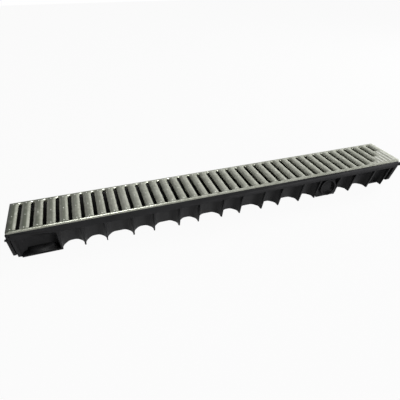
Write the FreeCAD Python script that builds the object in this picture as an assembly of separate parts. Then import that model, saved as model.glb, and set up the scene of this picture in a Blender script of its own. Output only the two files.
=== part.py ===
"""Channel drain, one metre long: a moulded plastic channel body and a pressed steel grating.

The body is one moulding. A V-shaped trough with a round bottom hangs from a deep rim, and
cross ribs with flared roots carry it on the ground and bed it in concrete. The grating is one
pressed sheet: its slots are drawn down into collars, its lands carry small raised dimples, and
its long edges are turned down over the rim.

Frame: X along the drain, Y across it, Z up. The origin is the bottom centre of the bounding
box. Millimetres throughout.
"""
import FreeCAD, Part
import math
import os
from FreeCAD import Vector

# ---- Overall sizes -------------------------------------------------------------------------
LENGTH = 1000.0          # laid length, rim end to rim end
WIDTH = 120.0            # across the rim and across the grating
HEIGHT = 88.0            # ground to the top of the grating

# ---- Grating -------------------------------------------------------------------------------
SHEET = 1.5              # steel thickness
GRATE_GAP = 0.5          # grating short of the rim at each end
EDGE_DROP = 5.0          # depth of the turned-down long edges, from the top face
EDGE_BEND = 2.0          # outside radius of that bend
END_DROP = 6.0           # depth of the turned-down end tabs, from the top face
END_TAB_WIDTH = 84.0
SLOT_COUNT = 37
SLOT_FIRST = 22.4        # left rim end to the first slot's centre
SLOT_LAST = 22.16        # last slot's centre to the right rim end
SLOT_OPENING = 9.0       # clear width
SLOT_LENGTH = 101.2      # clear length
SLOT_DEPTH = 6.0         # depth of the drawn collar, from the top face
LIP_SHOULDER = (2.9, 1.4)          # the lip's turning point: outwards from the opening, down
LIP_WIDTH = 6.5          # opening to the flat of the land
SLOT_FACETS = 4          # flats in each round slot end, few because there are so many slots
SHORT_SLOTS = (0.91, 0.66, 0.39)   # the last slots, as shares of the full length
RIDGE_PITCH = 13.2       # plain stiffening ridges in the corner the short slots leave free
RIDGE_COUNT = 5
RIDGE_LAST = 12.0        # last ridge's centre to the sheet's right end
RIDGE_WIDTH = 6.6        # at its foot
RIDGE_TOP = 2.4          # flat on top
RIDGE_HEIGHT = 0.7
RIDGE_GAP = 1.5          # ridge to slot lip, and ridge to the bend of the front edge
DIMPLE_ROWS = (-51.0, 0.0, 51.0)
DIMPLE_RADIUS = 2.2
DIMPLE_HEIGHT = 0.9
DIMPLE_SIDES = 4

# ---- Channel body --------------------------------------------------------------------------
WALL = 2.6               # general wall
RIM_DEPTH = 22.0         # rim's lower edge, below the top of the grating
RIM_WALL = 3.0
SEAT_WIDTH = 4.8         # rim face to the inside of the grating's seat
SEAT_DEPTH = 6.5         # upright inner face below the seat, beside the slot collars
SHELF_THICK = 3.2        # shelf that joins the rim to the trough
SHELF_DROP = 6.5         # its fall from the seat's inner face to the trough
REBATE_GAP = 0.1         # clearance between the turned-down edge and its rebate
FOOT_INSET = 25.6        # the ribs' outer edge leans in this much from rim to ground
TROUGH_INSET = 25.6      # trough wall behind the ribs' outer edge
TROUGH_CLEAR = 1.5       # trough's underside above the ground
TROUGH_CORNER = 5.0      # width of the bevel along each lower corner of the trough
WATERWAY_CORNER = 8.0    # inside radius along each lower corner

RIB_PAIRS = 8            # one strong rib and one light rib in each
STRONG_RIB_FIRST = 147.7
STRONG_RIB_THICK = 3.4
LIGHT_RIB_FIRST = 197.2
LIGHT_RIB_LAST = 23.0    # last light rib to the right rim end
LIGHT_RIB_THICK = 2.6
RIB_FLARE = 20.0         # radius between a rib and the trough, where the bay has room for it
BRACKET_REACH = 18.0     # rim brackets at the light ribs: along the rim
BRACKET_DROP = 24.0      # and down the rib
BRACKET_INSET = 6.0      # behind the rib's outer edge
BRACKET_THICK = 2.4
BRACKET_HOLLOW = 0.3     # how far the bracket's curved edges bow towards the rib

# ---- Ends ----------------------------------------------------------------------------------
FLANGE_CORNER = 12.0     # rounded lower corners of the end flanges
LEFT_OVERHANG = 2.0      # left flange stands past the rim end
LEFT_CLEAR = 9.0         # underside of the left flange above the ground
LEFT_FLANGE = 5.5        # its thickness
LEFT_GROOVE = 2.5
SECOND_FLANGE = 6.0
RIGHT_SETBACK = 0.5      # right flange stays inside the rim end
RIGHT_CLEAR = 12.0
RIGHT_FLANGE = 8.0
END_FOOT_WIDTH = 42.0    # base strip under the last bay between two ribs
LUG_LENGTH = 11.0        # joining lugs at the right rim corners
LUG_HEIGHT = 9.0
LUG_THICK = 3.0
LUG_DROP = 10.0          # top of the lug below the top of the grating
LUG_ROUND = 3.0          # its rounded free corners
LUG_GAP = 0.5            # clearance of the socket that takes the next drain's lug
SOCKET_BLOCK = 8.0
SOCKET_LIP = 5.0         # lower lip of the socket stands past the rim end

# ---- Outlet bay and side outlet ------------------------------------------------------------
OUTLET_BAY_END = 97.0    # rib that closes the outlet bay
OUTLET_PLATE = 4.0       # base plate on the ground
OUTLET_RADIUS = 32.0     # bottom outlet collar, outside
OUTLET_COLLAR = 11.0     # height of the collar
OUTLET_MEMBRANE = 2.0    # knock-out skin
SIDE_RADIUS = 23.5       # side outlet stub, outside
SIDE_WALL = 3.6
SIDE_FACE = 10.0         # stub's face behind the rim's face
SIDE_SKIN = 10.0         # knock-out skin behind the stub's face
SIDE_HEIGHT = 35.0       # stub's axis above the ground
SIDE_CLEAR = 7.45        # stub to the middle plane of the rib on each side
SIDE_PAIR = 5            # the stub follows the light rib of this pair, counted from 0
SIDE_PLATE_STEP = 7.5    # face of the plate around the stub, behind the stub's face
SIDE_PLATE_THICK = 3.0
SIDE_PLATE_CLEAR = 7.0   # plate's lower edge above the ground
SIDE_PLATE_CORNER = 10.0

# ---- Derived places ------------------------------------------------------------------------
HALF = WIDTH / 2
RIM_BOTTOM = HEIGHT - RIM_DEPTH
SEAT = HEIGHT - SHEET
TAPER = FOOT_INSET / RIM_BOTTOM
LEAN = math.atan(TAPER)
SLOT_PITCH = (LENGTH - SLOT_FIRST - SLOT_LAST) / (SLOT_COUNT - 1)
RIB_PITCH = (LENGTH - LIGHT_RIB_FIRST - LIGHT_RIB_LAST) / (RIB_PAIRS - 1)
SHELF = SEAT - SEAT_DEPTH
# The socket lips and the lugs make the ends unequal; START puts the bounding box about X = 0.
START = (SOCKET_LIP - LENGTH - LUG_LENGTH) / 2
FAR = HEIGHT + WIDTH     # construction overshoot, cut away again


def along(distance):
    """X of a place measured from the left rim end."""
    return START + distance


def rounded_wire(corners, place):
    """Closed outline through corners (a, b, radius); place turns (a, b) into a Vector.

    Each corner with a radius becomes a tangent arc.
    """
    count = len(corners)
    edges = []
    starts = []
    for i in range(count):
        a, b, radius = corners[i]
        before = Vector(*corners[i - 1][:2], 0) - Vector(a, b, 0)
        after = Vector(*corners[(i + 1) % count][:2], 0) - Vector(a, b, 0)
        before.normalize()
        after.normalize()
        corner = Vector(a, b, 0)
        if radius <= 0:
            starts.append((corner, corner, None))
            continue
        half_angle = before.getAngle(after) / 2
        run = radius / math.tan(half_angle)
        bisector = before + after
        bisector.normalize()
        middle = corner + bisector * (radius / math.sin(half_angle) - radius)
        starts.append((corner + before * run, corner + after * run, middle))
    for i in range(count):
        enter, leave, middle = starts[i]
        if middle is not None:
            points = [place(p.x, p.y) for p in (enter, middle, leave)]
            edges.append(Part.Arc(*points).toShape())
        following = starts[(i + 1) % count][0]
        if leave.distanceToPoint(following) > 1e-6:
            line = Part.LineSegment(place(leave.x, leave.y), place(following.x, following.y))
            edges.append(line.toShape())
    return Part.Wire(edges)


def prism_x(corners, x_from, x_to):
    """Outline in the YZ plane carried along X."""
    wire = rounded_wire(corners, lambda y, z: Vector(x_from, y, z))
    return Part.Face(wire).extrude(Vector(x_to - x_from, 0, 0))


def prism_y(corners, y_from, y_to):
    """Outline in the XZ plane carried along Y."""
    wire = rounded_wire(corners, lambda x, z: Vector(x, y_from, z))
    return Part.Face(wire).extrude(Vector(0, y_to - y_from, 0))


def box(x_from, x_to, y_from, y_to, z_from, z_to):
    """Block between two corners."""
    size = (x_to - x_from, y_to - y_from, z_to - z_from)
    return Part.makeBox(*size, Vector(x_from, y_from, z_from))


def mirrored(points):
    """Right half of a symmetric outline, given from top to bottom, with its left half added."""
    left = [(-y, z, radius) for y, z, radius in reversed(points)]
    return list(points) + left


def rib_edge(z):
    """Half width of the ribs' outer edge at height z."""
    return HALF - TAPER * (RIM_BOTTOM - z)


def trough_wall(z, inset=0.0):
    """Half width of the trough's outer wall at height z; inset moves it inwards."""
    return rib_edge(z) - TROUGH_INSET - inset / math.cos(LEAN)


# ---- Channel body --------------------------------------------------------------------------
def envelope_outline(clear=0.0, corner=0.0):
    """What ribs and flanges may fill: inside the rim above, between the leaning edges below."""
    inside = HALF - RIM_WALL / 2
    return mirrored([
        (inside, SHELF, 0),
        (inside, RIM_BOTTOM, 0),
        (rib_edge(RIM_BOTTOM), RIM_BOTTOM, 0),
        (rib_edge(clear), clear, corner),
    ])


def rib_places():
    """Distances of each pair's (strong, light) ribs from the left rim end.

    The two ribs beside the side outlet keep their clearance from its stub.
    """
    places = []
    for pair in range(RIB_PAIRS):
        step = pair * RIB_PITCH
        places.append([STRONG_RIB_FIRST + step, LIGHT_RIB_FIRST + step])
    before, after = places[SIDE_PAIR], places[SIDE_PAIR + 1]
    middle = (before[1] + after[0]) / 2
    before[1] = middle - SIDE_RADIUS - SIDE_CLEAR
    after[0] = middle + SIDE_RADIUS + SIDE_CLEAR
    return places


def partitions():
    """(x_from, x_to) of every flange and cross rib, from left to right."""
    left = along(-LEFT_OVERHANG)
    second = left + LEFT_FLANGE + LEFT_GROOVE
    right = along(LENGTH - RIGHT_SETBACK)
    walls = [(left, left + LEFT_FLANGE), (second, second + SECOND_FLANGE)]
    ribs = [(OUTLET_BAY_END, STRONG_RIB_THICK)]
    for strong, light in rib_places():
        ribs += [(strong, STRONG_RIB_THICK), (light, LIGHT_RIB_THICK)]
    for place, thick in ribs:
        walls.append((along(place) - thick / 2, along(place) + thick / 2))
    walls.append((right - RIGHT_FLANGE, right))
    return walls


def trough_faces():
    """The trough's outer faces on the +Y side as (point, direction, flare) in the YZ plane.

    The wall and the bevel below it have flared bays; the low underside is square.
    """
    corner = (trough_wall(TROUGH_CLEAR), TROUGH_CLEAR)
    turn = (math.pi / 2 - LEAN) / 2
    run = TROUGH_CORNER / 2 / math.cos(turn)
    bevel = (corner[0] - run, corner[1])
    return [
        (corner, (-math.sin(LEAN), -math.cos(LEAN)), RIB_FLARE),
        (bevel, (-math.cos(turn), -math.sin(turn)), RIB_FLARE),
        (bevel, (-1.0, 0.0), 0.0),
    ]


def scoop(x_from, x_to, point, direction, flare):
    """Cutter that clears one bay down to one face of the trough, with flared inner edges.

    The outline lies in the plane of X and the face's outward normal and is carried along the
    face, far past both of its ends.
    """
    if x_to - x_from < 2 * flare:
        flare = 0.0
    normal = Vector(0, -direction[1], direction[0])
    origin = Vector(0, point[0] - FAR * direction[0], point[1] - FAR * direction[1])
    wire = rounded_wire([
        (x_from, 0, flare),
        (x_to, 0, flare),
        (x_to, FAR, 0),
        (x_from, FAR, 0),
    ], lambda x, out: origin + Vector(x, 0, 0) + normal * out)
    return Part.Face(wire).extrude(Vector(0, direction[0], direction[1]) * (2 * FAR))


def ribbed_trough():
    """Trough with its flanges and cross ribs: one block scooped out bay by bay.

    Neighbouring scoops meet in a mitre, so the flares follow the trough's outline round.
    """
    walls = partitions()
    block = prism_x(envelope_outline(), walls[0][0], walls[-1][1])
    scoops = []
    for before, after in zip(walls, walls[1:]):
        for point, direction, flare in trough_faces():
            right = scoop(before[1], after[0], point, direction, flare)
            scoops += [right, right.mirror(Vector(0, 0, 0), Vector(0, 1, 0))]
    return block.cut(scoops)


def flange_trims():
    """What the end flanges lack of the ribs' outline: they are raised and have round corners."""
    walls = partitions()
    trims = []
    for wall, clear in ((walls[0], LEFT_CLEAR), (walls[1], 0.0), (walls[-1], RIGHT_CLEAR)):
        overlap = LEFT_GROOVE / 2
        x_from = wall[0] - overlap
        x_to = wall[1] + overlap
        around = box(x_from, x_to, -HALF - 1, HALF + 1, -1, FLANGE_CORNER + clear)
        trims.append(around.cut(prism_x(envelope_outline(clear, FLANGE_CORNER), x_from, x_to)))
    return trims


def rim():
    """Deep rim with the grating's seat, the rebate for its edges and the sloping shelf."""
    rebate = HALF - EDGE_BEND
    rebate_floor = HEIGHT - EDGE_DROP - REBATE_GAP
    low = SHELF - SHELF_DROP
    outline = mirrored([
        (rebate, SEAT, 0),
        (rebate, rebate_floor, 0),
        (HALF, rebate_floor, 0),
        (HALF, RIM_BOTTOM, 0),
        (HALF - RIM_WALL, RIM_BOTTOM, 0),
        (HALF - RIM_WALL, SHELF - SHELF_THICK, 0),
        (trough_wall(low), low - SHELF_THICK, 0),
    ])
    return prism_x(outline, along(0), along(LENGTH))


def waterway():
    """Everything that is open above the trough's inner faces, from end to end."""
    low = SHELF - SHELF_DROP
    floor = TROUGH_CLEAR + WALL
    outline = mirrored([
        (HALF - SEAT_WIDTH, SEAT + FAR, 0),
        (HALF - SEAT_WIDTH, SHELF, 0),
        (trough_wall(low, WALL), low, 0),
        (trough_wall(floor, WALL), floor, WATERWAY_CORNER),
    ])
    return prism_x(outline, along(-SOCKET_LIP) - FAR, along(LENGTH) + FAR)


def joining_lugs():
    """Lugs on the right rim corners and the sockets that take the next drain's on the left."""
    lug_top = HEIGHT - LUG_DROP
    lug_low = lug_top - LUG_HEIGHT
    solids = []
    sockets = []
    for side in (-1, 1):
        def across(inset_from, inset_to):
            return sorted((side * (HALF - inset_from), side * (HALF - inset_to)))

        solids.append(prism_y([
            (along(LENGTH) - SOCKET_BLOCK, lug_low, 0),
            (along(LENGTH) + LUG_LENGTH, lug_low, LUG_ROUND),
            (along(LENGTH) + LUG_LENGTH, lug_top, LUG_ROUND),
            (along(LENGTH) - SOCKET_BLOCK, lug_top, 0),
        ], *across(0, LUG_THICK)))
        solids.append(box(along(0), along(SOCKET_BLOCK), *across(0, 2 * LUG_THICK),
                          RIM_BOTTOM, HEIGHT - EDGE_DROP - REBATE_GAP))
        solids.append(box(along(-SOCKET_LIP), along(SOCKET_BLOCK), *across(0, 2 * LUG_THICK),
                          RIM_BOTTOM, lug_low - LUG_GAP))
        sockets.append(box(along(-SOCKET_LIP) - FAR, along(LUG_LENGTH - SOCKET_LIP + LUG_GAP),
                           *across(-LUG_THICK, LUG_THICK + LUG_GAP),
                           lug_low - LUG_GAP, lug_top + LUG_GAP))
    return solids, sockets


def rim_brackets():
    """Curved brackets in the corners between the rim's shelf and each light rib.

    Each is drawn upright with the rim's lower edge at z = 0, then leant over with the rib.
    """
    foot = BRACKET_DROP / math.cos(LEAN)
    rise = (SHELF - RIM_BOTTOM) / math.cos(LEAN)
    room = box(-LENGTH, LENGTH, -HALF, HALF, 0, SHELF - SHELF_THICK / 2)
    brackets = []
    for _, light in rib_places():
        x = along(light)
        low = Vector(x, BRACKET_INSET, -foot)
        left = Vector(x - BRACKET_REACH, BRACKET_INSET, 0)
        right = Vector(x + BRACKET_REACH, BRACKET_INSET, 0)
        up = Vector(0, 0, rise)
        bow = Vector(BRACKET_REACH * BRACKET_HOLLOW, 0, 0)
        middle = Vector(x, BRACKET_INSET, -foot * BRACKET_HOLLOW)
        wire = Part.Wire([
            Part.LineSegment(right, right + up).toShape(),
            Part.LineSegment(right + up, left + up).toShape(),
            Part.LineSegment(left + up, left).toShape(),
            Part.Arc(left, middle - bow, low).toShape(),
            Part.Arc(low, middle + bow, right).toShape(),
        ])
        plate = Part.Face(wire).extrude(Vector(0, BRACKET_THICK, 0))
        plate.rotate(Vector(0, 0, 0), Vector(1, 0, 0), math.degrees(LEAN))
        plate.translate(Vector(0, -HALF, RIM_BOTTOM))
        plate = plate.common(room)
        brackets += [plate, plate.mirror(Vector(0, 0, 0), Vector(0, 1, 0))]
    return brackets


def bottom_outlet():
    """Base plate and round collar of the outlet bay, with the hole below the knock-out skin."""
    walls = partitions()
    start = walls[1][1]
    end = walls[2][0]
    centre = (start + end) / 2
    foot = mirrored([(rib_edge(OUTLET_PLATE), OUTLET_PLATE, 0), (rib_edge(0), 0, 0)])
    plate = prism_x(foot, start, end)
    collar = Part.makeCylinder(OUTLET_RADIUS, OUTLET_COLLAR, Vector(centre, 0, 0))
    skin = TROUGH_CLEAR + WALL - OUTLET_MEMBRANE
    hole = Part.makeCylinder(OUTLET_RADIUS - WALL, skin + FAR, Vector(centre, 0, -FAR))
    return [plate, collar], hole


def end_foot():
    """Base strip under the last bay between two ribs."""
    walls = partitions()
    half = END_FOOT_WIDTH / 2
    return box(walls[-3][1], walls[-2][0], -half, half, 0, OUTLET_PLATE)


def side_outlet():
    """Blanked round stub in a plate that closes one bay of the front, between two ribs."""
    places = rib_places()
    left = along(places[SIDE_PAIR][1])
    right = along(places[SIDE_PAIR + 1][0])
    centre = (left + right) / 2
    face = SIDE_FACE - HALF
    plate_face = face + SIDE_PLATE_STEP
    axis = Vector(0, 1, 0)
    at_face = Vector(centre, face, SIDE_HEIGHT)
    stub = Part.makeCylinder(SIDE_RADIUS, -face, at_face, axis)
    bore = Part.makeCylinder(SIDE_RADIUS - SIDE_WALL, SIDE_SKIN, at_face, axis)
    plate = prism_y([
        (left, SIDE_PLATE_CLEAR, 0),
        (right, SIDE_PLATE_CLEAR, SIDE_PLATE_CORNER),
        (right, SHELF, 0),
        (left, SHELF, 0),
    ], plate_face, plate_face + SIDE_PLATE_THICK)
    return [stub, plate], bore


def channel_body():
    """The whole moulding as one solid."""
    joint_solids, sockets = joining_lugs()
    outlet_solids, outlet_hole = bottom_outlet()
    side_solids, side_bore = side_outlet()
    solids = [rim(), end_foot()] + joint_solids + rim_brackets() + outlet_solids + side_solids
    body = ribbed_trough().multiFuse(solids)
    body = body.cut([waterway(), outlet_hole, side_bore] + sockets + flange_trims())
    return body.removeSplitter()


# ---- Grating -------------------------------------------------------------------------------
def slot_ring(span, offset, drop):
    """Corners of a slot's outline, moved outwards by offset and lying drop below the top."""
    x, y_from, y_to = span
    radius = SLOT_OPENING / 2
    reach = radius + offset
    ring = []
    for centre, start in ((y_to - radius, 0.0), (y_from + radius, math.pi)):
        for i in range(SLOT_FACETS + 1):
            angle = start + math.pi * i / SLOT_FACETS
            ring.append(Vector(x + reach * math.cos(angle), centre + reach * math.sin(angle),
                               HEIGHT - drop))
    return ring


def stacked(rings):
    """Solid between rings of equally many corners, with a flat face at each end."""
    faces = [Part.Face(Part.makePolygon(ring + ring[:1])) for ring in (rings[0], rings[-1])]
    for low, high in zip(rings, rings[1:]):
        for i in range(len(low)):
            k = (i + 1) % len(low)
            corners = [low[i], low[k], high[k], high[i], low[i]]
            faces.append(Part.Face(Part.makePolygon(corners)))
    return Part.Solid(Part.Shell(faces))


def slot_spans():
    """(x, y_from, y_to) of every slot; the last ones stop short of the front."""
    back = SLOT_LENGTH / 2
    whole = SLOT_COUNT - len(SHORT_SLOTS)
    shares = [1.0] * whole + list(SHORT_SLOTS)
    spans = []
    for i, share in enumerate(shares):
        spans.append((along(SLOT_FIRST + i * SLOT_PITCH), back - SLOT_LENGTH * share, back))
    return spans


def slot_collar(span):
    """Drawn collar under one slot, one sheet thickness outside the slot's lip."""
    out, _ = LIP_SHOULDER
    return stacked([slot_ring(span, SHEET, SLOT_DEPTH), slot_ring(span, out + SHEET, SHEET),
                    slot_ring(span, out + SHEET, SHEET / 2)])


def slot_opening(span):
    """Through slot with its rolled lip: steep in the collar, shallow towards the land."""
    out, down = LIP_SHOULDER
    slope = (LIP_WIDTH - out) / down
    return stacked([slot_ring(span, 0, SLOT_DEPTH + 1), slot_ring(span, 0, SLOT_DEPTH),
                    slot_ring(span, out, down), slot_ring(span, LIP_WIDTH + slope, -1)])


def dimple(x, y):
    """Raised point, punched up from below."""
    ring = []
    top = []
    for i in range(DIMPLE_SIDES):
        angle = 2 * math.pi * i / DIMPLE_SIDES
        arm = Vector(math.cos(angle), math.sin(angle), 0)
        ring.append(Vector(x, y, HEIGHT) + arm * DIMPLE_RADIUS)
        top.append(Vector(x, y, HEIGHT + DIMPLE_HEIGHT) + arm * (DIMPLE_RADIUS / 3))
    root = [corner - Vector(0, 0, SHEET / 2) for corner in ring]
    return stacked([root, ring, top])


def corner_ridges(spans):
    """Plain ridges beside each other in the corner that the short slots leave free."""
    front = -HALF + EDGE_BEND + RIDGE_GAP
    last = along(LENGTH - GRATE_GAP) - RIDGE_LAST
    reach = (SLOT_OPENING + RIDGE_WIDTH) / 2 + LIP_WIDTH
    foot = RIDGE_WIDTH / 2
    flat = RIDGE_TOP / 2
    ridges = []
    for i in range(RIDGE_COUNT):
        x = last - i * RIDGE_PITCH
        beside = [y_from for slot_x, y_from, _ in spans if abs(slot_x - x) < reach]
        end = min(beside + [spans[-1][1]]) - LIP_WIDTH - RIDGE_GAP
        ridges.append(prism_y([
            (x - foot, HEIGHT - SHEET / 2, 0),
            (x + foot, HEIGHT - SHEET / 2, 0),
            (x + foot, HEIGHT, 0),
            (x + flat, HEIGHT + RIDGE_HEIGHT, 0),
            (x - flat, HEIGHT + RIDGE_HEIGHT, 0),
            (x - foot, HEIGHT, 0),
        ], front, end))
    return ridges


def dimples(spans):
    """A row across the sheet before every slot, where the slot's own length leaves a land."""
    solids = []
    for x, y_from, _ in spans:
        for y in DIMPLE_ROWS:
            if y > y_from - LIP_WIDTH:
                solids.append(dimple(x - SLOT_PITCH / 2, y))
    return solids


def grating():
    """The pressed sheet as one solid."""
    x_from = along(GRATE_GAP)
    x_to = along(LENGTH - GRATE_GAP)
    low = HEIGHT - EDGE_DROP
    under = HEIGHT - SHEET
    outline = mirrored([
        (HALF, HEIGHT, EDGE_BEND),
        (HALF, low, 0),
        (HALF - SHEET, low, 0),
        (HALF - SHEET, under, EDGE_BEND - SHEET),
    ])
    solids = []
    for x in (x_from, x_to - SHEET):
        solids.append(box(x, x + SHEET, -END_TAB_WIDTH / 2, END_TAB_WIDTH / 2,
                          HEIGHT - END_DROP, under + SHEET / 2))
    spans = slot_spans()
    solids += [slot_collar(span) for span in spans]
    solids += corner_ridges(spans) + dimples(spans)
    plate = prism_x(outline, x_from, x_to).multiFuse(solids)
    return plate.cut([slot_opening(span) for span in spans]).removeSplitter()


# ---- Files ---------------------------------------------------------------------------------
def write(name, shape):
    """One STEP file for one sub-part."""
    solids = shape.Solids
    if len(solids) != 1 or not shape.isValid():
        raise ValueError(f"{name}: {len(solids)} solids, valid {shape.isValid()}")
    solids[0].exportStep(f"parts/{name}.step")
    bounds = solids[0].optimalBoundingBox()
    print(f"{name}: volume {solids[0].Volume / 1000:.1f} cm3, "
          f"X {bounds.XMin:.2f}..{bounds.XMax:.2f}, Y {bounds.YMin:.2f}..{bounds.YMax:.2f}, "
          f"Z {bounds.ZMin:.2f}..{bounds.ZMax:.2f}")


os.makedirs("parts", exist_ok=True)
write("channel_body", channel_body())
write("grating", grating())
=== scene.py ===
# %% [markdown]
# # A channel drain with a slotted steel grating
# A channel drain is a long trough set in paving, with a grating on top. Two things are made
# here: the pressed steel grating, and the finish of both parts. The trough's solid comes from
# the imported frame. This first cell loads it.

import math

import bmesh
import bpy
import numpy as np
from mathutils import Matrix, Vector


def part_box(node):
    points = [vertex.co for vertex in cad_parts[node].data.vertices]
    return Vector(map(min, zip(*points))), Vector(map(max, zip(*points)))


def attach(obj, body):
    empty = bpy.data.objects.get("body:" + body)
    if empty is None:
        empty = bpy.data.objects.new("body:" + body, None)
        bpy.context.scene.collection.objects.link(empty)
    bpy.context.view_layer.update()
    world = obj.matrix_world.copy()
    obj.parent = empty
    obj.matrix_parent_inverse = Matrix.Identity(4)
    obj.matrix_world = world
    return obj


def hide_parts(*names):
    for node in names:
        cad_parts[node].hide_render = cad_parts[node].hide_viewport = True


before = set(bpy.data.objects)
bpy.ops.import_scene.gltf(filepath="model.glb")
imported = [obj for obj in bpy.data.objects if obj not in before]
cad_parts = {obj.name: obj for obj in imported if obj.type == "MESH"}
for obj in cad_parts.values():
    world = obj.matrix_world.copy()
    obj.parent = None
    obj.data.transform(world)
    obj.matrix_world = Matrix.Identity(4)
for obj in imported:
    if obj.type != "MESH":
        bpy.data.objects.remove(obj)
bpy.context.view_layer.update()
MM = 0.001

# %% [markdown]
# ## Sizes
# The grating is one repeated pattern, so a handful of sizes drives all of it. It runs along X,
# with its front at the low Y side. Its ends, sides and height come from the frame, and its
# bends, slots and lips are given here.

# %% Sizes of the sheet
grate_low, grate_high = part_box("grating")
LEFT = grate_low.x
RIGHT = grate_high.x
HALF = grate_high.y                 # half the width
POINT_HEIGHT = 0.9 * MM             # raised points stand above the lands
TOP = grate_high.z - POINT_HEIGHT   # the lands
SHEET = 1.5 * MM                    # thickness
BEND = 2.0 * MM                     # outside radius of the long edges
FLAT_HALF = HALF - BEND
TAB_FOOT = grate_low.z
EDGE_FOOT = TAB_FOOT + 1.0 * MM     # the long edges end a little above the end tabs
END_BEND = 1.6 * MM                 # outside radius of the end tabs
TAB_HALF = 42.0 * MM                # the end tabs are narrower than the sheet
print("grating from", round(LEFT, 4), "to", round(RIGHT, 4), "lands at", round(TOP, 4))

# %% Sizes of the slots
SLOT_COUNT = 37
SLOT_PITCH = 26.54 * MM
SLOT_FIRST = 21.9 * MM              # from the grating's left end
SLOT_RADIUS = 4.2 * MM              # half the clear width
SLOT_HALF = 53.8 * MM               # half the clear length
SHORT_SLOTS = (0.91, 0.66, 0.39)    # the last slots, as shares of the full length
LIP_OUT = np.array([6.6, 6.0, 5.2, 3.2, 1.2, 0.4, 0.0, 0.0]) * MM      # out from the opening
LIP_DOWN = np.array([0.0, 0.08, 0.27, 1.0, 1.75, 2.3, 3.1, 6.5]) * MM  # and down from the land
END_LIP = 0.48                      # the lip is narrower round the slot's ends

slot_x = LEFT + SLOT_FIRST + SLOT_PITCH * np.arange(SLOT_COUNT)
slot_share = np.ones(SLOT_COUNT)
slot_share[-len(SHORT_SLOTS):] = SHORT_SLOTS
slot_front = SLOT_HALF - 2 * SLOT_HALF * slot_share
lip_front = slot_front - END_LIP * LIP_OUT[0]
print("slots from", slot_x[0].round(4), "to", slot_x[-1].round(4))

# %% [markdown]
# ## Small helpers
# Every new surface is a grid of points: rows by columns by (x, y, z). Cutting and moving edges
# by hand would do for one slot, but not for 37. One helper makes such a grid from three arrays,
# one turns it over, one makes its faces, and the last welds several grids into one mesh.

# %% Grids to meshes
WELD = 0.01 * MM


def grid_of(x, y, z):
    """Points from three arrays, each stretched to the shape that they share."""
    return np.stack(np.broadcast_arrays(x, y, z), -1)


def turned(grid):
    """The same grid with its rows in reverse order, which turns its faces over."""
    return grid[::-1]


def grid_faces(rows, columns, offset, closed=False):
    """Quads between neighbouring rows and columns; closed joins the last column to the first."""
    r = np.arange(rows - 1)[:, None]
    c = np.arange(columns if closed else columns - 1)[None, :]
    k = (c + 1) % columns
    corners = (r * columns + c, r * columns + k, (r + 1) * columns + k, (r + 1) * columns + c)
    return offset + np.stack([corner.ravel() for corner in corners], 1)


def mesh_of(name, rings=(), strips=()):
    """One welded mesh of grids. The rows of a ring grid close on themselves, a strip's don't."""
    places = []
    faces = []
    offset = 0
    for grid, closed in [(ring, True) for ring in rings] + [(strip, False) for strip in strips]:
        rows, columns = grid.shape[:2]
        faces.append(grid_faces(rows, columns, offset, closed))
        places.append(grid.reshape(-1, 3))
        offset += rows * columns
    mesh = bpy.data.meshes.new(name)
    mesh.from_pydata(np.concatenate(places).tolist(), [], np.concatenate(faces).tolist())
    piece = bpy.data.objects.new(name, mesh)
    bpy.context.scene.collection.objects.link(piece)
    piece.modifiers.new("weld", "WELD").merge_threshold = WELD
    return piece


print("faces of a grid of 3 by 4 points:", len(grid_faces(3, 4, 0)))

# %% [markdown]
# ## The pressed sheet
# On the real grating each slot is punched and its edge is drawn down, so the land rolls into
# the slot in one soft curve. A boolean cut would give a sharp edge. Instead each slot is a set
# of nested rings: the outermost is the rectangle that the slot owns, the next is where the lip
# leaves the land, and the rest follow the lip's curve down into the collar.

# %% The ring of one slot
END_STEPS = 14                      # faces round each end of a slot
TAB_STEPS = 7                       # faces along its sides, over the width of the end tabs
OUTER_STEPS = 2                     # and from there to each bend
tab_stops = np.linspace(-TAB_HALF, TAB_HALF, TAB_STEPS + 1)
outer_stops = np.linspace(TAB_HALF, FLAT_HALF, OUTER_STEPS + 1)[1:]
stops = np.concatenate([-outer_stops[::-1], tab_stops, outer_stops])


def ring_pattern():
    """Four arrays around a slot: cosine and sine of the outward direction, the place along the
    straight side from -1 to 1, and the place across the owned rectangle from 1 to -1."""
    turn = np.linspace(0, math.pi, END_STEPS + 1)[1:-1]
    side = np.ones_like(stops)
    end = np.ones_like(turn)
    across = 1 - 2 * turn / math.pi
    cosine = np.concatenate([side, np.cos(turn), -side, -np.cos(turn)])
    sine = np.concatenate([0 * side, np.sin(turn), 0 * side, -np.sin(turn)])
    along = np.concatenate([stops / FLAT_HALF, end, -stops / FLAT_HALF, -end])
    owned = np.concatenate([side, across, -side, -across])
    return cosine, sine, along, owned


cosine, sine, along, owned = ring_pattern()
print("points around a slot:", len(cosine))

# %% All slots at once
def slot_cells():
    """Slots by rings by points. A ring at offset d from the opening is the round-ended outline
    (r + d) * direction around the slot's centre line. Each ring has its own offset and drop:
    the lip slopes gently from the land, turns down near the opening and ends in a collar.
    Across the slot's ends d is cut to a share, which makes the outline there half an ellipse."""
    x = slot_x[:, None, None]
    high = SLOT_HALF - SLOT_RADIUS
    low = slot_front[:, None, None] + SLOT_RADIUS
    out = LIP_OUT[:, None]
    line = (high + low) / 2 + (high - low) / 2 * along
    rings = grid_of(x + (SLOT_RADIUS + out) * cosine,
                    line + (SLOT_RADIUS + END_LIP * out) * sine,
                    TOP - LIP_DOWN[:, None])
    border = grid_of(x + owned * SLOT_PITCH / 2, along * FLAT_HALF, TOP)
    return np.concatenate([border, rings], 1)


cells = slot_cells()
print("slots, rings, points and axes:", cells.shape)

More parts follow.
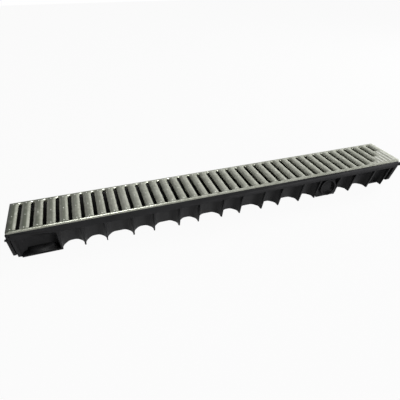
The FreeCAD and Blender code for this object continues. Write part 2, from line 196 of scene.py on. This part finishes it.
# %% [markdown]
# ## Edges and end tabs
# The sheet's long edges are folded down to stiffen it, and a narrower tab is folded down at each
# end. Each fold is a profile, a quarter circle and then a straight wall, carried along the edge.
# The sheet's thickness comes last, from a Solidify modifier. Drawing the inner face by hand too
# would double the work for the same shape.

# %% Edges and tabs
BEND_STEPS = 4
SAME_PLACE = 7                      # decimals to which shared places agree, 0.1 micrometre


def quarter(radius):
    """A bend of ninety degrees as (run out, drop) pairs: sine and one minus cosine."""
    turn = np.linspace(0, math.pi / 2, BEND_STEPS + 1)
    return radius * np.sin(turn), radius * (1 - np.cos(turn))


def end_flat(border_x, end_x):
    """Flat strip between the outermost slot's rectangle and the sheet's end."""
    return grid_of(np.array([border_x, end_x])[:, None], stops, TOP)


def end_tab(border_x, end_x):
    """Tab at the end of the flat strip: the bend just inside the end, then a wall down."""
    run, drop = quarter(END_BEND)
    side = np.sign(end_x - border_x)
    x = np.append(end_x - side * (END_BEND - run), end_x)
    z = np.append(TOP - drop, TAB_FOOT)
    return grid_of(x[:, None], tab_stops, z[:, None])


def long_edge(side):
    """Long edge: the sheet's border carried round the bend and down, along the whole length.
    Its places along X are those of the slots' rectangles, each counted once."""
    x = np.append(slot_x[:, None] + owned * SLOT_PITCH / 2, [LEFT, RIGHT])
    run, drop = quarter(BEND)
    y = side * np.append(FLAT_HALF + run, HALF)
    z = np.append(TOP - drop, EDGE_FOOT)
    return grid_of(np.unique(x.round(SAME_PLACE)), y[:, None], z[:, None])


left_end = (slot_x[0] - SLOT_PITCH / 2, LEFT)
right_end = (slot_x[-1] + SLOT_PITCH / 2, RIGHT)
flats = [end_flat(*left_end), turned(end_flat(*right_end))]
edges = [turned(long_edge(-1)), long_edge(1)]
sheet = mesh_of("grating_sheet", rings=cells, strips=flats + edges)
left_tab = mesh_of("end_tab_left", strips=[end_tab(*left_end)])
right_tab = mesh_of("end_tab_right", strips=[turned(end_tab(*right_end))])
print("grating sheet:", len(sheet.data.vertices), "points")

# %% Sheet thickness
def thicken(piece):
    """Give a surface the sheet's thickness, inwards, so the outer face stays where it is."""
    solid = piece.modifiers.new("thickness", "SOLIDIFY")
    solid.thickness = SHEET
    solid.offset = -1
    solid.use_even_offset = True


for piece in (sheet, left_tab, right_tab):
    thicken(piece)
print("sheet thickness in mm:", SHEET / MM)

# %% [markdown]
# ## Raised points and ridges
# Three small points are punched up on each land for grip. Pushing them up in the sheet's own
# grid would need a finer grid everywhere, so they are round domes set on it: one profile,
# repeated, with only a few dozen faces each. The corner that the short last slots leave free is
# stiffened by plain ridges.

# %% Raised points
POINT_RADIUS = 2.6 * MM
POINT_ROWS = np.array([-51.0, 0.0, 51.0]) * MM
POINT_RINGS = 4
POINT_SIDES = 12


def domes(centres):
    """Rings by points of one dome per centre: height h * cos(t)^2 at radius r * t / 90 degrees,
    from the foot, where t is 90 degrees, to the tip."""
    t = np.linspace(math.pi / 2, 0, POINT_RINGS + 1)[:, None]
    turn = 2 * math.pi * np.arange(POINT_SIDES) / POINT_SIDES
    radius = POINT_RADIUS * t / (math.pi / 2)
    dome = grid_of(radius * np.cos(turn), radius * np.sin(turn), POINT_HEIGHT * np.cos(t) ** 2)
    return centres[:, None, None, :] + dome


spots = grid_of((slot_x - SLOT_PITCH / 2)[:, None], POINT_ROWS, TOP)
centres = spots[spots[..., 1] > lip_front[:, None]]
points = mesh_of("raised_points", rings=domes(centres))
print("raised points:", len(centres))

# %% Corner ridges
RIDGE_COUNT = 5
RIDGE_PITCH = 13.2 * MM
RIDGE_LAST = 12.0 * MM              # last ridge's centre to the sheet's right end
RIDGE_HALF = 3.3 * MM               # half the width
RIDGE_HEIGHT = 0.7 * MM
RIDGE_GAP = 1.5 * MM                # ridge to slot lip, and ridge to the bend
RIDGE_FADE = 3.0 * MM               # length over which each end rises
RIDGE_STEPS = (40, 8)               # faces along a ridge and across it


def ridge(x, front, back):
    """One ridge: half a sine across, with ends that rise as a quarter sine."""
    along_steps, across_steps = RIDGE_STEPS
    across = np.linspace(0, math.pi, across_steps + 1)
    y = np.linspace(front, back, along_steps + 1)[:, None]
    rise = np.clip(np.minimum(y - front, back - y) / RIDGE_FADE, 0, 1)
    z = TOP + RIDGE_HEIGHT * np.sin(across) * np.sin(rise * math.pi / 2)
    return grid_of(x - RIDGE_HALF * np.cos(across), y, z)


ridge_x = RIGHT - RIDGE_LAST - RIDGE_PITCH * np.arange(RIDGE_COUNT)
beside = np.abs(slot_x - ridge_x[:, None]) < SLOT_RADIUS + LIP_OUT[0] + RIDGE_HALF
ridge_back = np.where(beside, lip_front, lip_front[-1]).min(1) - RIDGE_GAP
ridge_front = -FLAT_HALF + RIDGE_GAP
ridges = mesh_of("corner_ridges",
                 strips=[ridge(x, ridge_front, back) for x, back in zip(ridge_x, ridge_back)])
print("ridges end at y =", ridge_back.round(4))

# %% [markdown]
# ## The moulded body
# The trough with its ribs is one injection moulding, already a solid in the frame. The CAD mesh
# is loose triangles, so a merged copy is made and shaded smooth where faces nearly agree: the
# flared rib roots then look round while every edge stays crisp. Modelling it again would give
# the same form, so only its shading changes.

# %% Body with smooth flares
BODY_WELD = 0.02 * MM
CREASE = 25                         # degrees between two faces that make an edge stay sharp
ALL_SMOOTH = 180


def merged_copy(node, name):
    """Copy of a CAD node with its loose triangles welded, so that shading can run across them."""
    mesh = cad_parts[node].data.copy()
    welded = bmesh.new()
    welded.from_mesh(mesh)
    bmesh.ops.remove_doubles(welded, verts=welded.verts, dist=BODY_WELD)
    welded.to_mesh(mesh)
    welded.free()
    piece = bpy.data.objects.new(name, mesh)
    bpy.context.scene.collection.objects.link(piece)
    return piece


def smooth(piece, degrees):
    """Smooth shading wherever neighbouring faces differ by less than the angle."""
    piece.data.polygons.foreach_set("use_smooth", [True] * len(piece.data.polygons))
    piece.data.set_sharp_from_angle(angle=math.radians(degrees))


body = merged_copy("channel_body", "channel_moulding")
smooth(body, CREASE)
steel = [sheet, left_tab, right_tab, points, ridges]
for piece in steel:
    smooth(piece, ALL_SMOOTH)
print("moulding:", len(body.data.vertices), "points")

# %% [markdown]
# ## Galvanised steel
# Hot-dip zinc shows faint flat crystals, the spangle, each with its own tone and gloss. Voronoi
# cells give each crystal one random value, which moves the colour and the roughness a little.
# Towards the left end the lands are darkened with a dull olive tone, in clouds, and the tops of
# the points and ridges get a painted highlight, lighter and more metallic. Both could be painted
# by hand, but the place in space tells where they belong, so the nodes read that.

# %% Node helpers
def feed(tree, node, inputs):
    """Give a node its inputs: a socket is linked, and anything else is set as the value."""
    for key, value in inputs.items():
        if isinstance(value, bpy.types.NodeSocket):
            tree.links.new(value, node.inputs[key])
        else:
            node.inputs[key].default_value = value


def add(tree, kind, inputs=None, **settings):
    """Add a node to the tree, with its settings and then its inputs."""
    node = tree.nodes.new(kind)
    for key, value in settings.items():
        setattr(node, key, value)
    feed(tree, node, inputs or {})
    return node


def new_material(name):
    """New material with its node tree and its Principled shader."""
    material = bpy.data.materials.new(name)
    material.use_nodes = True
    tree = material.node_tree
    return material, tree, tree.nodes["Principled BSDF"]


print("helpers:", [helper.__name__ for helper in (feed, add, new_material)])

# %% Pattern helpers
BUMP_DEPTH = 0.2 * MM


def noise(tree, place, scale, detail, roughness=0.5):
    """Smooth noise around a half, whose largest waves are about 1 / scale metres long."""
    return add(tree, "ShaderNodeTexNoise", {"Vector": place, "Scale": scale, "Detail": detail,
                                            "Roughness": roughness}).outputs["Fac"]


def share(tree, value, start, stop):
    """0 where the value is at start, 1 at stop, straight between them and clamped outside."""
    return add(tree, "ShaderNodeMapRange", {"Value": value, "From Min": start,
                                            "From Max": stop}).outputs["Result"]


def between(tree, amount, start, stop):
    """start where the amount is 0, and stop where it is 1."""
    return add(tree, "ShaderNodeMapRange", {"Value": amount, "To Min": start,
                                            "To Max": stop}).outputs["Result"]


def times(tree, first, second):
    """Product of two values."""
    return add(tree, "ShaderNodeMath", {0: first, 1: second}, operation="MULTIPLY").outputs[0]


def layer(tree, amount, under, over):
    """One colour laid over another, by the amount."""
    return add(tree, "ShaderNodeMixRGB", {"Fac": amount, "Color1": under,
                                          "Color2": over}).outputs["Color"]


def bumped(tree, height, strength):
    """Normals tilted as if the surface rose and fell with the height."""
    return add(tree, "ShaderNodeBump", {"Height": height, "Strength": strength,
                                        "Distance": BUMP_DEPTH}).outputs["Normal"]


print("bump depth in mm:", BUMP_DEPTH / MM)

# %% Galvanised steel
DARK_ZINC = (0.28, 0.29, 0.235, 1)
LIGHT_ZINC = (0.43, 0.44, 0.38, 1)
# a dull olive tone that darkens the lands towards the left end
LAND_DARKENING = (0.10, 0.112, 0.08, 1)
# painted highlight on whatever stands above the lands
TOP_HIGHLIGHT = (0.64, 0.65, 0.60, 1)
SPANGLE_SCALE = 160.0               # cells of about 6 mm
SPANGLE_WEIGHT = 0.45               # against the clouds, in the tone
CLOUD_SCALE = 22.0                  # clouds of about 45 mm
ZINC_GRAIN = 900.0                  # grain of about 1 mm
DARKENING_FROM = -0.18                   # place along X where the darkening of the lands starts
DARKENING_FULL = -0.5                    # and where it is full


def galvanised():
    """Zinc: spangle cells, darker lands, painted highlights on raised tops and a fine grain.

    The darkening is strongest at the left end and lies on the lands only, so the lips stay clean.
    Whatever stands above the lands gets a painted highlight: a lighter colour and more metal."""
    material, tree, shader = new_material("galvanised_zinc")
    place = add(tree, "ShaderNodeTexCoord").outputs["Object"]
    axes = add(tree, "ShaderNodeSeparateXYZ", {"Vector": place}).outputs
    cell = add(tree, "ShaderNodeTexVoronoi", {"Vector": place, "Scale": SPANGLE_SCALE,
                                              "Randomness": 1.0}).outputs["Color"]
    spangle = add(tree, "ShaderNodeSeparateColor", {"Color": cell}).outputs["Red"]
    cloud = noise(tree, place, CLOUD_SCALE, 4.0, 0.6)
    tone = add(tree, "ShaderNodeMath", {0: spangle, 1: SPANGLE_WEIGHT, 2: cloud},
               operation="MULTIPLY_ADD").outputs[0]
    clean = layer(tree, share(tree, tone, 0.3, 1.0), DARK_ZINC, LIGHT_ZINC)
    # The lands darken towards the left end, in clouds, and the lips are left out.
    leftwards = share(tree, axes["X"], DARKENING_FROM, DARKENING_FULL)
    on_lands = share(tree, axes["Z"], TOP - 1.0 * MM, TOP - 0.05 * MM)
    patches = share(tree, cloud, 0.25, 0.5)
    land_darkening = times(tree, times(tree, leftwards, on_lands), patches)
    darkened = layer(tree, land_darkening, clean, LAND_DARKENING)
    # Painted highlight: the tops of the points and ridges are lighter and more metallic.
    top_highlight = share(tree, axes["Z"], TOP + 0.25 * MM, TOP + 0.7 * MM)
    feed(tree, shader, {"Base Color": layer(tree, top_highlight, darkened, TOP_HIGHLIGHT),
                        "Roughness": between(tree, spangle, 0.28, 0.42),
                        "Metallic": between(tree, top_highlight, 0.15, 0.6),
                        "Normal": bumped(tree, noise(tree, place, ZINC_GRAIN, 2.0), 0.12),
                        "Specular IOR Level": 0.1})
    return material


zinc = galvanised()
print("material:", zinc.name, "with", len(zinc.node_tree.nodes), "nodes")

# %% [markdown]
# ## Moulded plastic
# The trough is black recycled polypropylene: nearly black, with a dull skin. A single colour
# would look like a cut-out. The mould leaves slow waves of tone and gloss where the melt flowed,
# and a fine grain that keeps what highlights there are soft, so two noises make them.

# %% Black plastic
DARK_PLASTIC = (0.022, 0.022, 0.023, 1)
LIGHT_PLASTIC = (0.034, 0.034, 0.035, 1)
FLOW_SCALE = 14.0                   # waves of about 70 mm
PLASTIC_GRAIN = 1400.0              # grain of about 0.7 mm


def black_plastic():
    """Charcoal plastic: a slow drift of tone and gloss, and a fine grain."""
    material, tree, shader = new_material("moulded_black")
    place = add(tree, "ShaderNodeTexCoord").outputs["Object"]
    waves = share(tree, noise(tree, place, FLOW_SCALE, 3.0, 0.55), 0.3, 0.7)
    feed(tree, shader, {"Base Color": layer(tree, waves, DARK_PLASTIC, LIGHT_PLASTIC),
                        "Roughness": between(tree, waves, 0.42, 0.55),
                        "Normal": bumped(tree, noise(tree, place, PLASTIC_GRAIN, 2.0), 0.08),
                        "Specular IOR Level": 0.03})
    return material


plastic = black_plastic()
print("material:", plastic.name, "with", len(plastic.node_tree.nodes), "nodes")

# %% [markdown]
# ## Pieces to the frame
# Each new piece wears the finish of its part and rides on the root, and the CAD node that it
# stands in for is hidden. Nothing on a drain moves, so all of it rides on the root.

# %% Pieces to the frame
for piece in steel:
    piece.data.materials.append(zinc)
    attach(piece, "root")
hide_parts("grating")
body.data.materials.clear()
body.data.materials.append(plastic)
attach(body, "root")
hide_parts("channel_body")
print("pieces:", [piece.name for piece in steel + [body]])

# %% [markdown]
# ## Studio
# The drain stands on white in soft light: a large lamp to the right, which brightens the lips
# that face it, and one low in front for the ribs. Neither shows in reflections. A small lamp
# above shows in nothing else: it makes the glints on the slot ends, the points and the front
# edge. The background could be lit until it is white, but that would wash out the drain. Instead
# it is white to the camera, in reflections and through glass only, and otherwise it adds next to
# no light.

# %% World and floor
WHITE = (1, 1, 1, 1)
WORLD_LIGHT = 0.03
FLOOR_TONE = (0.35, 0.35, 0.35, 1)
FLOOR_WHITE = 0.95                  # the rest of the floor shows the drain's shadow
FLOOR_HALF = 6.0
FLOOR_GAP = 0.5 * MM                # floor below the drain's foot


def white_to_camera(tree, shaded, white, amount):
    """Lay an amount of a white shader over another for camera, glossy and transmission rays."""
    rays = add(tree, "ShaderNodeLightPath").outputs
    seen = rays["Is Camera Ray"]
    for kind in ("Is Glossy Ray", "Is Transmission Ray"):
        seen = add(tree, "ShaderNodeMath", {0: seen, 1: rays[kind]},
                   operation="MAXIMUM").outputs[0]
    return add(tree, "ShaderNodeMixShader", {"Fac": times(tree, seen, amount), 1: shaded,
                                             2: white}).outputs["Shader"]


world = bpy.data.worlds.new("studio")
bpy.context.scene.world = world
world.use_nodes = True
tree = world.node_tree
dim = tree.nodes["Background"]
feed(tree, dim, {"Color": WHITE, "Strength": WORLD_LIGHT})
white = add(tree, "ShaderNodeBackground", {"Color": WHITE, "Strength": 1.0})
sky = white_to_camera(tree, dim.outputs["Background"], white.outputs["Background"], 1.0)
feed(tree, tree.nodes["World Output"], {"Surface": sky})

floor_mesh = bpy.data.meshes.new("floor")
floor_mesh.from_pydata([(x * FLOOR_HALF, y * FLOOR_HALF, -FLOOR_GAP)
                        for x, y in ((-1, -1), (1, -1), (1, 1), (-1, 1))], [], [(0, 1, 2, 3)])
floor = bpy.data.objects.new("floor", floor_mesh)
bpy.context.scene.collection.objects.link(floor)
pale, tree, shader = new_material("pale_floor")
feed(tree, shader, {"Base Color": FLOOR_TONE, "Roughness": 0.9})
glow = add(tree, "ShaderNodeEmission", {"Strength": 1.0})
ground = white_to_camera(tree, shader.outputs["BSDF"], glow.outputs["Emission"], FLOOR_WHITE)
feed(tree, tree.nodes["Material Output"], {"Surface": ground})
floor_mesh.materials.append(pale)
print("world light:", WORLD_LIGHT, "and floor at", -FLOOR_GAP)


# %% Lamps
def lamp(name, place, target, size, power, glossy=False):
    """Square area lamp at a place, turned to face its target, with its size in metres and its
    power in watts. A glossy lamp only makes highlights, and the others make none."""
    light = bpy.data.lights.new(name, "AREA")
    light.size = size
    light.energy = power
    stand = bpy.data.objects.new(name, light)
    aim = Vector(target) - Vector(place)
    stand.location = place
    stand.rotation_euler = aim.to_track_quat("-Z", "Y").to_euler()
    stand.visible_glossy = glossy
    stand.visible_diffuse = not glossy
    bpy.context.scene.collection.objects.link(stand)
    return stand


lamps = [lamp("key", (2.9, 0.5, 1.7), (0, 0, 0.08), 1.2, 165),
         lamp("front", (1.4, -2.7, 0.15), (0, 0, 0.05), 1.0, 92),
         lamp("glint", (-0.3, -0.35, 0.8), (-0.25, 0, 0.08), 0.35, 50, glossy=True)]
print("lamps:", [stand.name for stand in lamps])

# %% [markdown]
# ## Camera
# The camera stands in front of the left half and looks down and a little to the right, so the
# right end lies further away. The small shift slides the view without changing its perspective.
# The Standard view transform shows each colour about as it is written.

# %% Camera
CAMERA_DOWN = 29.94                 # degrees below level
CAMERA_RIGHT = 20.02                # degrees to the right of straight ahead
camera = bpy.data.cameras.new("camera")
camera.lens = 35.75
camera.sensor_width = 36
camera.shift_x = -0.05
camera.shift_y = -0.0311
view = bpy.data.objects.new("camera", camera)
view.location = (-0.314, -0.827, 0.573)
view.rotation_euler = (math.radians(90 - CAMERA_DOWN), 0, math.radians(-CAMERA_RIGHT))
bpy.context.scene.collection.objects.link(view)
bpy.context.scene.camera = view
bpy.context.scene.view_settings.view_transform = "Standard"
print("camera at", tuple(view.location))
